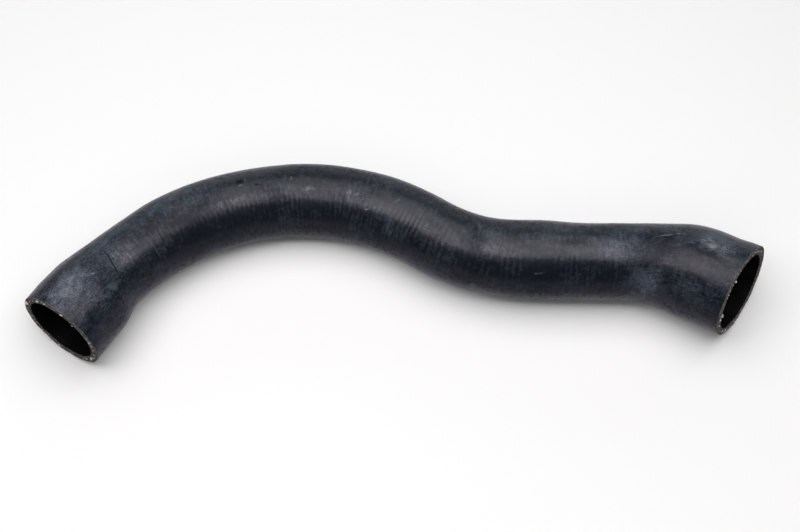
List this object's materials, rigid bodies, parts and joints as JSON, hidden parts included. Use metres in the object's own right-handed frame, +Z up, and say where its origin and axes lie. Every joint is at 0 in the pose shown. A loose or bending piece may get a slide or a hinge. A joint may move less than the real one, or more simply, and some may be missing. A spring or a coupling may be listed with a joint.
{
  "type": "radiator hose",
  "caption": "Moulded rubber coolant hose with a gently S-shaped route, widening at each end into a plain sleeve that pushes over a neck and takes a clip.",
  "frame": {"origin": "on the table that the hose lies on, under the middle of its outline", "axes": "+X along the hose's length towards its right mouth, +Z up, so that the hump of the route points to +Y"},
  "size_m": [0.4152, 0.1232, 0.0575],
  "materials": {
    "rubber": "satin black with a blue-grey bloom, scuffs and fine cross ribs",
    "yarn": "pale cord ends, where the reinforcement is cut through"
  },
  "bodies": {
    "root": {"hose": "rubber"}
  },
  "joints": []
}
